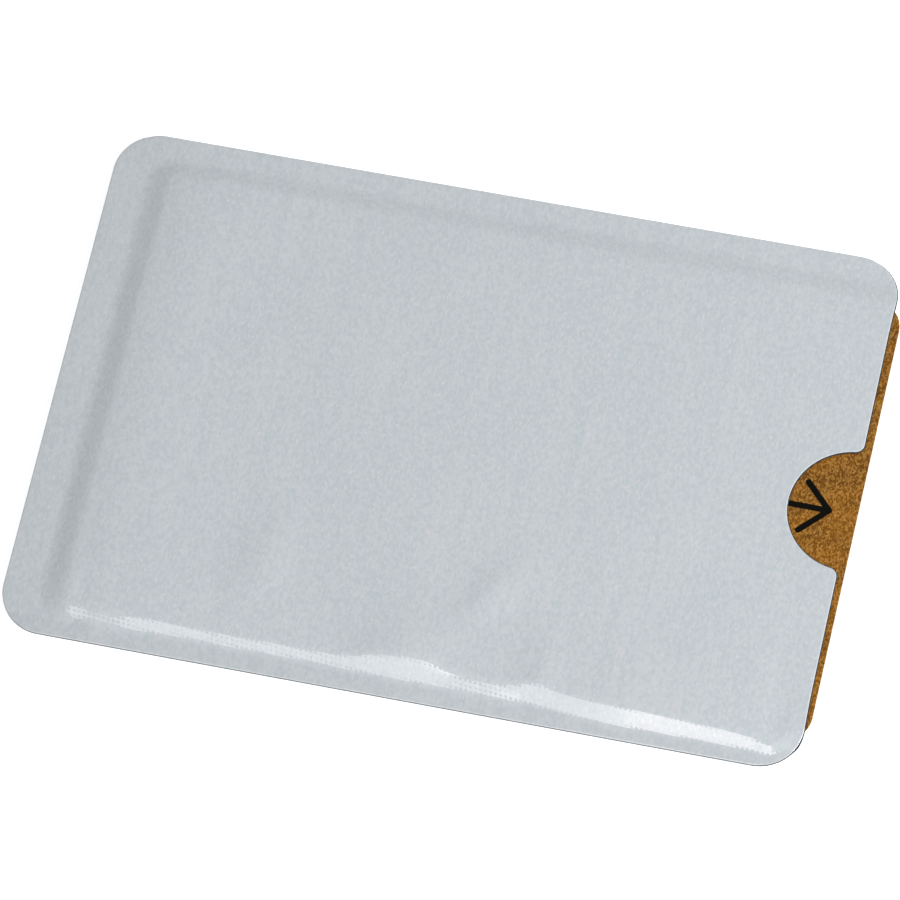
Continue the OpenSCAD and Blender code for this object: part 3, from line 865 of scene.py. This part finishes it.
FINISHES = {
    "silver_film": metallised_film,
    "screening_foil": rolled_foil,
    "paper_liner": recycled_paper,
    "seam_glue": heat_seal_glue,
    "gold_card_face": gold_overlay,
    "gold_card_sheet": gold_sheet,
    "card_core": white_plastic,
    "etched_aluminium": etched_aluminium,
    "module_tape": glass_tape,
    "contact_plating": hard_gold,
    "silicon": polished_silicon,
    "black_resin": black_epoxy,
    "magnetic_tape": magnetic_lacquer,
    "writing_panel": writing_coat,
    "black_ink": screen_ink,
}


def finish(slot):
    """The material of one of the finish slots, made the first time that it is asked for."""
    maker = FINISHES[slot]
    return bpy.data.materials.get(maker.__name__) or new_finish(maker)


# Pieces of the sleeve

def build_panel(context, side, face, inwards, lip_drop):
    """Film, foil and liner of one panel, laid face to face. inwards is -1 where the pocket lies
    below the outer face and 1 where it lies above it."""
    sleeve, shape, steps = context.scene.sleeve_sizes, context.scene.panel_shape, context.scene.mesh_steps
    depth = 0.0
    for layer, thickness, slot in (
        ("film", sleeve.film, "silver_film"),
        ("foil", sleeve.foil, "screening_foil"),
        ("liner", sleeve.liner, "paper_liner"),
    ):
        pitch = steps.film_pitch if layer == "film" else steps.inner_pitch
        # Only the front liner stands out, as painted shadow along the card
        shown = sleeve.liner_rim_as_painted_shadow if (side, layer) == ("front", "liner") else 0
        x, y = plan_grid(sleeve, shape, steps, pitch, shown)
        outer = face(sleeve, shape, x, y) + inwards * depth
        inner = outer + inwards * thickness
        if layer == "film":
            pressed = 1 - cut_edge_distance(sleeve, x, y) / shape.lip_width
            outer = outer + inwards * lip_drop * np.clip(pressed, 0, 1) ** 2
        points, faces = shell(x, y, np.minimum(outer, inner), np.maximum(outer, inner))
        new_piece(f"{side}_panel_{layer}", points, faces, slot, "sleeve", f"{side}_{layer}")
        depth += thickness


class SLEEVE_OT_front_panel(bpy.types.Operator):
    """Front panel: film, foil and liner that arch over the card"""

    bl_idname = "sleeve.front_panel"
    bl_label = "Front panel"

    def execute(self, context):
        build_panel(context, "front", front_face, -1, context.scene.panel_shape.lip_drop)
        return {"FINISHED"}


class SLEEVE_OT_back_panel(bpy.types.Operator):
    """Back panel: film, foil and liner that lie on the table"""

    bl_idname = "sleeve.back_panel"
    bl_label = "Back panel"

    def execute(self, context):
        build_panel(context, "back", back_face, 1, context.scene.panel_shape.lip_drop / 2)
        return {"FINISHED"}


class SLEEVE_OT_seams(bpy.types.Operator):
    """Glue lines of the three closed sides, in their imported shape"""

    bl_idname = "sleeve.seams"
    bl_label = "Seams"

    def execute(self, context):
        dress("seam_glue", "end_seam", "top_seam", "bottom_seam")
        return {"FINISHED"}


# Pieces of the card

def in_card(card, points):
    """Turns and shifts points from the card's own place at the origin to where it lies in the sleeve."""
    cosine, sine = math.cos(card.skew), math.sin(card.skew)
    turned = points @ np.array([[cosine, sine, 0], [-sine, cosine, 0], [0, 0, 1]])
    return turned + np.array([CARD_MIDDLE.x, CARD_MIDDLE.y, 0])


def module_place(card):
    """Middle of the contact field, in the card's own place."""
    cosine, sine = math.cos(card.skew), math.sin(card.skew)
    x, y = TAPE_MIDDLE.x - CARD_MIDDLE.x, TAPE_MIDDLE.y - CARD_MIDDLE.y
    return np.array([cosine * x + sine * y, cosine * y - sine * x])


class SLEEVE_OT_card_face(bpy.types.Operator):
    """Clear gold face of the card, with the opening for the contact field"""

    bl_idname = "sleeve.card_face"
    bl_label = "Card face"

    def execute(self, context):
        card, steps = context.scene.card_sizes, context.scene.mesh_steps
        play = 2 * card.module_play
        hole = module_place(card) + rounded_loop(
            card.module_length + play, card.module_width + play,
            card.module_radius + card.module_play, steps.corner_steps
        )
        edge_points = 4
        turns = np.linspace(0, math.pi / 2, edge_points)
        insets = card.edge_radius * (1 - np.sin(turns))
        drops = card.edge_radius * (1 - np.cos(turns))
        outer = [
            rounded_loop(
                card.length - 2 * inset, card.width - 2 * inset,
                card.corner_radius - inset, steps.corner_steps
            )
            for inset in insets
        ]
        top, bottom = OVERLAY_HIGH.z, OVERLAY_HIGH.z - card.overlay
        loops = [hole, hole, *outer, outer[-1]]
        levels = [bottom, top, *(top - drops), bottom]
        points, faces = ring_plate(loops, levels)
        points = in_card(card, points)
        new_piece("card_face", points, faces, "gold_card_face", "card", "card_front_overlay")
        return {"FINISHED"}


class SLEEVE_OT_card_layers(bpy.types.Operator):
    """Printed sheets, core and back overlay of the card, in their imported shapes"""

    bl_idname = "sleeve.card_layers"
    bl_label = "Card layers"

    def execute(self, context):
        dress("gold_card_sheet", "card_front_sheet", "card_back_sheet")
        dress("card_core", "card_core")
        dress("gold_card_face", "card_back_overlay")
        return {"FINISHED"}


class SLEEVE_OT_card_chip(bpy.types.Operator):
    """Contact pads, tape, chip, resin and antenna of the card"""

    bl_idname = "sleeve.card_chip"
    bl_label = "Chip and antenna"

    def execute(self, context):
        radius = context.scene.card_sizes.pad_radius
        softened_copy("contact_plates", "contact_pads", "contact_plating", "card", radius)
        dress("module_tape", "module_tape")
        dress("silicon", "chip_die")
        dress("black_resin", "chip_encapsulant")
        dress("etched_aluminium", "antenna_coil", "antenna_bridge")
        return {"FINISHED"}


class SLEEVE_OT_card_back_print(bpy.types.Operator):
    """Magnetic stripe and writing panel on the card's back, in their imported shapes"""

    bl_idname = "sleeve.card_back_print"
    bl_label = "Stripe and writing panel"

    def execute(self, context):
        dress("magnetic_tape", "magnetic_stripe")
        dress("writing_panel", "signature_panel")
        return {"FINISHED"}


def arrow_outline(card, steps):
    """Outline of an arrow that points along X from the origin's left, drawn with a round pen: its
    upper half goes round the tip, out along the arm, round its end, back to the shaft and round
    half of the shaft's end, and the lower half mirrors it."""
    pen = card.arrow_stroke / 2
    tip = -pen
    head = np.array([-card.arrow_head, card.arrow_width / 2 - pen])
    lean = math.atan2(head[1], head[0])
    normal = lean - math.pi / 2
    arm_end = np.array([tip, 0]) + head
    tail = pen - card.arrow_length
    inner = np.array([tip, 0]) - pen * np.array([math.cos(normal), math.sin(normal)])
    # Where the arm's inner edge meets the shaft's edge
    joint_x = inner[0] + (pen - inner[1]) * head[0] / head[1]
    upper = np.concatenate([
        arc(tip, 0, pen, 0, normal, steps),
        arc(arm_end[0], arm_end[1], pen, normal, normal + math.pi, steps),
        [[joint_x, pen]],
        arc(tail, 0, pen, math.pi / 2, math.pi, steps),
    ])
    return np.concatenate([upper, upper[-2:0:-1] * [1, -1]])


class SLEEVE_OT_pull_arrow(bpy.types.Operator):
    """Black arrow printed on the card's face, which shows in the thumb notch"""

    bl_idname = "sleeve.pull_arrow"
    bl_label = "Pull arrow"

    def execute(self, context):
        card, steps = context.scene.card_sizes, context.scene.mesh_steps
        loop = arrow_outline(card, steps.corner_steps)
        loop = loop + np.array([card.length / 2 - card.arrow_from_end, card.arrow_up])
        count = len(loop)
        face = OVERLAY_HIGH.z
        upper = np.column_stack([loop, np.full(count, face + card.ink)])
        lower = np.column_stack([loop, np.full(count, face)])
        number = np.arange(count)
        after = np.roll(number, -1)
        wall = np.stack([number, number + count, after + count, after], axis=-1).tolist()
        faces = [number.tolist(), (number + count)[::-1].tolist(), *wall]
        points = in_card(card, np.concatenate([upper, lower]))
        new_piece("printed_arrow", points, faces, "black_ink", "card", "pull_arrow")
        return {"FINISHED"}


# Stage

def place_light(name, place, aim, size, radiance, colour):
    """Rectangular lamp at a place, turned to its aim. Its power is its radiance times pi and its area."""
    data = bpy.data.lights.new(name, "AREA")
    data.shape = "RECTANGLE"
    data.size, data.size_y = size
    data.energy = radiance * math.pi * size[0] * size[1]
    data.color = colour
    lamp = bpy.data.objects.new(name, data)
    bpy.context.scene.collection.objects.link(lamp)
    lamp.location = place
    lamp.rotation_euler = (Vector(aim) - Vector(place)).to_track_quat("-Z", "Y").to_euler()


class SLEEVE_OT_stage(bpy.types.Operator):
    """Pale floor, soft studio light and the camera"""

    bl_idname = "sleeve.stage"
    bl_label = "Stage"

    def execute(self, context):
        scene = context.scene
        stage = scene.stage_settings
        self.floor(scene)
        self.lights(scene, stage)
        self.camera(scene, stage)
        scene.view_settings.view_transform = "Standard"
        return {"FINISHED"}

    def floor(self, scene):
        """Wide flat sheet just under the part, half lit by itself like a backlit table."""
        half, level = 1.5, -0.01 * MM
        mesh = bpy.data.meshes.new("floor")
        corners = [(-half, -half, level), (half, -half, level), (half, half, level), (-half, half, level)]
        mesh.from_pydata(corners, [], [(0, 1, 2, 3)])
        floor = bpy.data.objects.new("floor", mesh)
        scene.collection.objects.link(floor)
        material = new_finish(painted_board)
        # The wide glowing floor isn't picked as a lamp, which keeps the grain of the picture down
        material.cycles.emission_sampling = "NONE"
        mesh.materials.append(material)

    def lights(self, scene, stage):
        """Even room light, four level lamps side by side above and before the bottom side, each
        brighter than the one to its left, whose reflection in the bottom slope is the bright streak,
        and a square lamp that stands off the mouth."""
        world = bpy.data.worlds.new("room")
        world.use_nodes = True
        background = world.node_tree.nodes["Background"]
        room = (0.955, 0.985, 1.0, 1.0)
        background.inputs["Color"].default_value = room
        background.inputs["Strength"].default_value = stage.ambient
        world.cycles.sampling_method = "NONE"
        scene.world = world
        white, middle = (1.0, 1.0, 1.0), (0.0, 0.0, 0.0)
        back, front, height = -0.063, -0.4, 0.9
        # The level lamps share their back and front edges, and each has a left and a right edge
        for name, left, right, radiance, colour in (
            ("left_lamp", -0.4, -0.103, 1.5, white),
            ("middle_lamp", -0.103, -0.09, 1.9, white),
            ("third_lamp", -0.09, -0.077, 2.45, (1.0, 0.96, 0.955)),
            ("right_lamp", -0.077, 0.06, 3.05, (1.0, 0.92, 0.91)),
        ):
            x, y = (left + right) / 2, (back + front) / 2
            place_light(name, (x, y, height), (x, y, 0), (right - left, back - front), radiance, colour)
        off_mouth, size, radiance = (0.6, -0.1, 0.38), (0.4, 0.4), 11.3
        place_light("mouth_lamp", off_mouth, middle, size, radiance, (1.0, 1.0, 0.985))

    def camera(self, scene, stage):
        """Camera from its place towards its aim, then rolled about the line of sight."""
        data = bpy.data.cameras.new("camera")
        data.sensor_width = 36
        data.lens = stage.lens
        data.clip_start = 0.01
        camera = bpy.data.objects.new("camera", data)
        scene.collection.objects.link(camera)
        place, aim = Vector(stage.camera_place), Vector(stage.camera_aim)
        forward = (aim - place).normalized()
        level_right = forward.cross(Vector((0, 0, 1))).normalized()
        level_up = level_right.cross(forward)
        right = math.cos(stage.camera_roll) * level_right + math.sin(stage.camera_roll) * level_up
        up = right.cross(forward)
        turn = Matrix((right, up, -forward)).transposed().to_4x4()
        camera.matrix_world = Matrix.Translation(place) @ turn
        scene.camera = camera


class SLEEVE_PT_pieces(bpy.types.Panel):
    """Lists the steps that build the sleeve and its card"""

    bl_label = "Card sleeve"
    bl_idname = "SLEEVE_PT_pieces"
    bl_space_type = "VIEW_3D"
    bl_region_type = "UI"
    bl_category = "Card sleeve"

    def draw(self, context):
        for operator in OPERATORS:
            self.layout.operator(operator.bl_idname)


OPERATORS = (
    SLEEVE_OT_front_panel,
    SLEEVE_OT_back_panel,
    SLEEVE_OT_seams,
    SLEEVE_OT_card_face,
    SLEEVE_OT_card_layers,
    SLEEVE_OT_card_chip,
    SLEEVE_OT_card_back_print,
    SLEEVE_OT_pull_arrow,
    SLEEVE_OT_stage,
)
GROUPS = {
    "sleeve_sizes": SleeveSizes,
    "panel_shape": PanelShape,
    "card_sizes": CardSizes,
    "mesh_steps": MeshSteps,
    "stage_settings": StageSettings,
    "finish_colours": FinishColours,
}


def register():
    """Registers the groups, the operators and the panel, and gives each scene its groups."""
    for group in GROUPS.values():
        bpy.utils.register_class(group)
    for name, group in GROUPS.items():
        setattr(bpy.types.Scene, name, PointerProperty(type=group))
    for operator in OPERATORS:
        bpy.utils.register_class(operator)
    bpy.utils.register_class(SLEEVE_PT_pieces)


def unregister():
    """Takes back what register does, in the reverse order."""
    bpy.utils.unregister_class(SLEEVE_PT_pieces)
    for operator in reversed(OPERATORS):
        bpy.utils.unregister_class(operator)
    for name in GROUPS:
        delattr(bpy.types.Scene, name)
    for group in reversed(GROUPS.values()):
        bpy.utils.unregister_class(group)


def main():
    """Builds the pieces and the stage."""
    register()
    for operator in OPERATORS:
        group, name = operator.bl_idname.split(".")
        getattr(getattr(bpy.ops, group), name)()
    bpy.context.view_layer.update()


if __name__ == "__main__":
    main()
